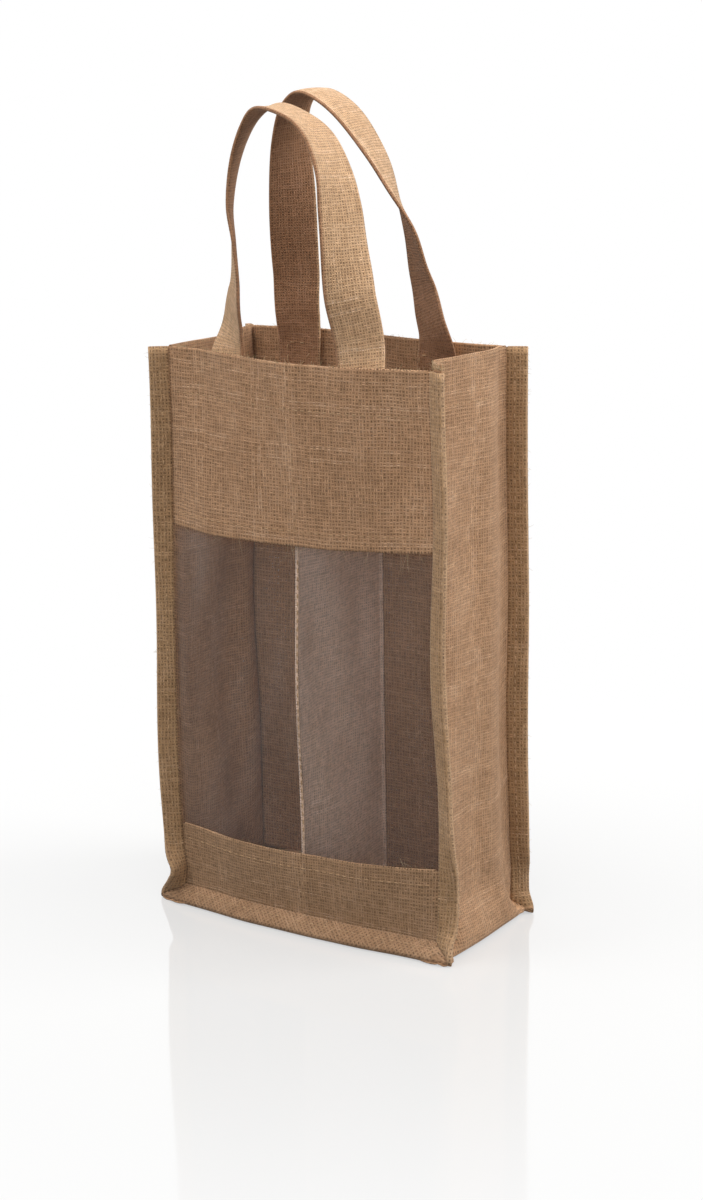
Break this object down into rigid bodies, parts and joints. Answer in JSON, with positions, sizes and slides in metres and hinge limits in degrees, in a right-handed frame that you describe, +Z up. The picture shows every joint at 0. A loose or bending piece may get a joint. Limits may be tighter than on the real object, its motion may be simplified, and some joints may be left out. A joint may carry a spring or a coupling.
{
  "type": "bottle carrier",
  "caption": "Upright jute bottle bag with a clear front window, an inner divider, bound corner seams and strap handles that fold at the rim.",
  "frame": {"origin": "on the floor, under the middle of the base", "axes": "+Z up towards the handles, -Y to the front with the window, +X to the right seen from the front"},
  "size_m": [0.2214, 0.1204, 0.5228],
  "materials": {
    "cloth": "coarse plain-weave jute",
    "binding": "jute strip folded over the seam",
    "strap": "folded jute strap",
    "thread": "matching sewing thread",
    "film": "clear flexible film"
  },
  "bodies": {
    "bag": {"front_upper_panel": "cloth", "front_lower_panel": "cloth", "back_panel": "cloth", "gusset": "cloth", "divider": "cloth", "window_film": "film", "front_left_binding": "binding", "front_right_binding": "binding", "front_base_binding": "binding", "back_left_binding": "binding", "back_right_binding": "binding", "back_base_binding": "binding", "front_handle_left_end": "strap", "front_handle_right_end": "strap", "back_handle_left_end": "strap", "back_handle_right_end": "strap", "rim_stitching": "thread", "window_stitching": "thread", "front_seam_stitching": "thread", "back_seam_stitching": "thread", "divider_stitching": "thread", "front_handle_stitching": "thread", "back_handle_stitching": "thread"},
    "front_handle": {"front_handle_loop": "strap"},
    "back_handle": {"back_handle_loop": "strap"}
  },
  "joints": [
    {"name": "front_handle_fold", "type": "hinge", "parent": "bag", "child": "front_handle", "pos_m": [0, -0.04791, 0.374], "axis": [1, 0, 0], "range_deg": [-8, 140]},
    {"name": "back_handle_fold", "type": "hinge", "parent": "bag", "child": "back_handle", "pos_m": [0, 0.04427, 0.374], "axis": [-1, 0, 0], "range_deg": [-6, 140]}
  ]
}
